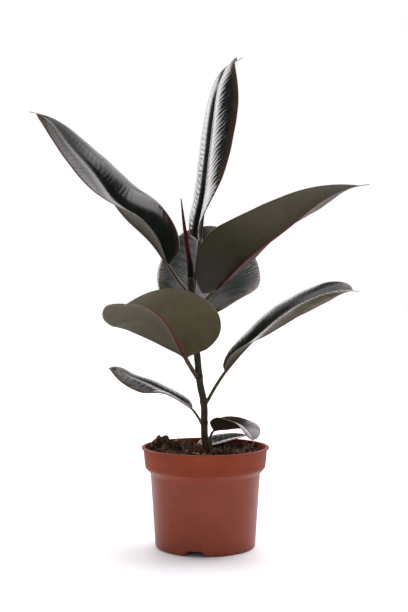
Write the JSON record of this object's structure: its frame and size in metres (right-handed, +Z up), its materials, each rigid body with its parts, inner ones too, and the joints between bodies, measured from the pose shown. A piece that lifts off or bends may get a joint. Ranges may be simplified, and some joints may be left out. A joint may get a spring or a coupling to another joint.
{
  "type": "potted ficus plant",
  "caption": "Young rubber plant with broad glossy dark leaves on one upright stem, standing in the soil of a round terracotta-coloured plastic nursery pot with a banded rim.",
  "frame": {"origin": "centre of the flat pad under the pot, on the floor it stands on", "axes": "+Z up along the pot's axis and the stem, +X to the right and -Y towards the viewer of the picture"},
  "size_m": [0.3202, 0.3417, 0.4715],
  "materials": {
    "terracotta_plastic": "satin injection-moulded plastic, earth red",
    "potting_soil": "rough dark peat and bark chips",
    "stem_bark": "dull brown bark, olive where young",
    "sheath_red": "satin dark red",
    "leaf": "glossy blackish green above, dull olive brown below"
  },
  "bodies": {
    "root": {"pot": "terracotta_plastic", "soil": "potting_soil", "stem": "stem_bark", "bud_sheath": "sheath_red", "leaf_lowest": "leaf", "leaf_side_shoot": "leaf", "leaf_lower_left": "leaf", "leaf_lower_right": "leaf", "leaf_front_left": "leaf", "leaf_back": "leaf", "leaf_upper_right": "leaf", "leaf_upper_left": "leaf", "leaf_top": "leaf"}
  },
  "joints": []
}
